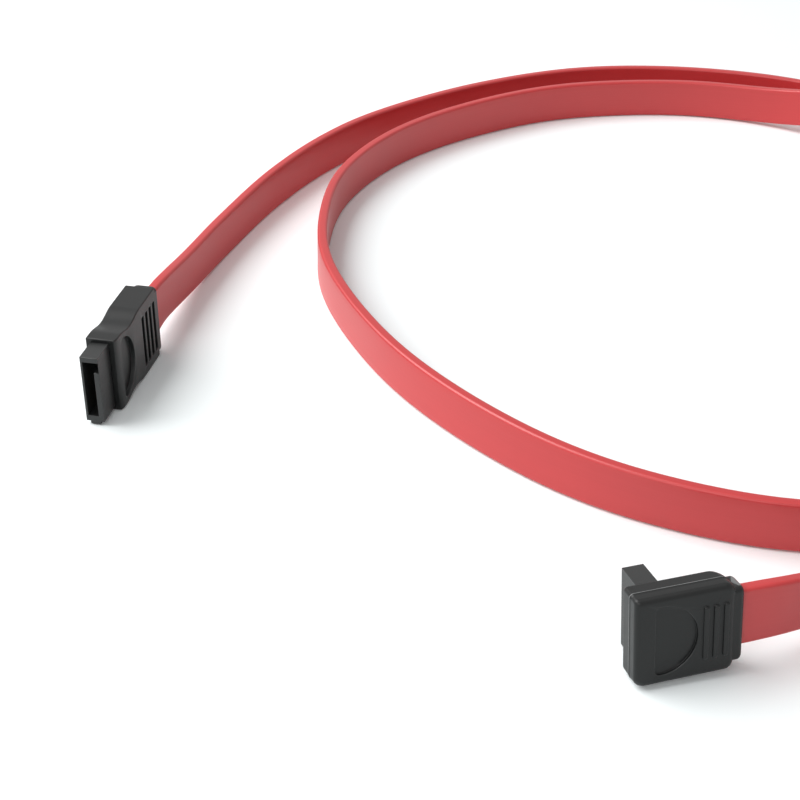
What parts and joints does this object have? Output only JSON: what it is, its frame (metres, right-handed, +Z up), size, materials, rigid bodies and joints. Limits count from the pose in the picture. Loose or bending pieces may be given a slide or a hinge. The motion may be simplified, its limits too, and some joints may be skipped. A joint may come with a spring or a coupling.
{
  "type": "sata data cable",
  "caption": "Flat red data cable with a straight plug and a right-angle plug, lying in a loose loop on its edge.",
  "frame": {"origin": "on the floor, midway between the two plugs: bottom centre of the box round both plugs", "axes": "+Z up from the floor the cable lies on, +X from the straight plug to the right-angle plug, +Y away from the viewer"},
  "size_m": [0.186, 0.2229, 0.0191],
  "materials": {
    "jacket": "glossy PVC jacket",
    "grip": "satin moulded PVC",
    "housing": "fine matte moulding",
    "contact": "gold-flashed copper alloy",
    "core": "white wire insulation",
    "drain": "tinned copper wire"
  },
  "bodies": {
    "root": {"straight_plug_grip": "grip", "straight_plug_housing": "housing", "straight_plug_contact_1": "contact", "straight_plug_contact_2": "contact", "straight_plug_contact_3": "contact", "straight_plug_contact_4": "contact", "straight_plug_contact_5": "contact", "straight_plug_contact_6": "contact", "straight_plug_contact_7": "contact", "straight_plug_signal_core_1": "core", "straight_plug_signal_core_2": "core", "straight_plug_signal_core_3": "core", "straight_plug_signal_core_4": "core", "straight_plug_drain_wire_1": "drain", "straight_plug_drain_wire_2": "drain", "straight_plug_drain_wire_3": "drain", "angle_plug_grip": "grip", "angle_plug_housing": "housing", "angle_plug_contact_1": "contact", "angle_plug_contact_2": "contact", "angle_plug_contact_3": "contact", "angle_plug_contact_4": "contact", "angle_plug_contact_5": "contact", "angle_plug_contact_6": "contact", "angle_plug_contact_7": "contact", "angle_plug_signal_core_1": "core", "angle_plug_signal_core_2": "core", "angle_plug_signal_core_3": "core", "angle_plug_signal_core_4": "core", "angle_plug_drain_wire_1": "drain", "angle_plug_drain_wire_2": "drain", "angle_plug_drain_wire_3": "drain", "cable": "jacket"}
  },
  "joints": []
}
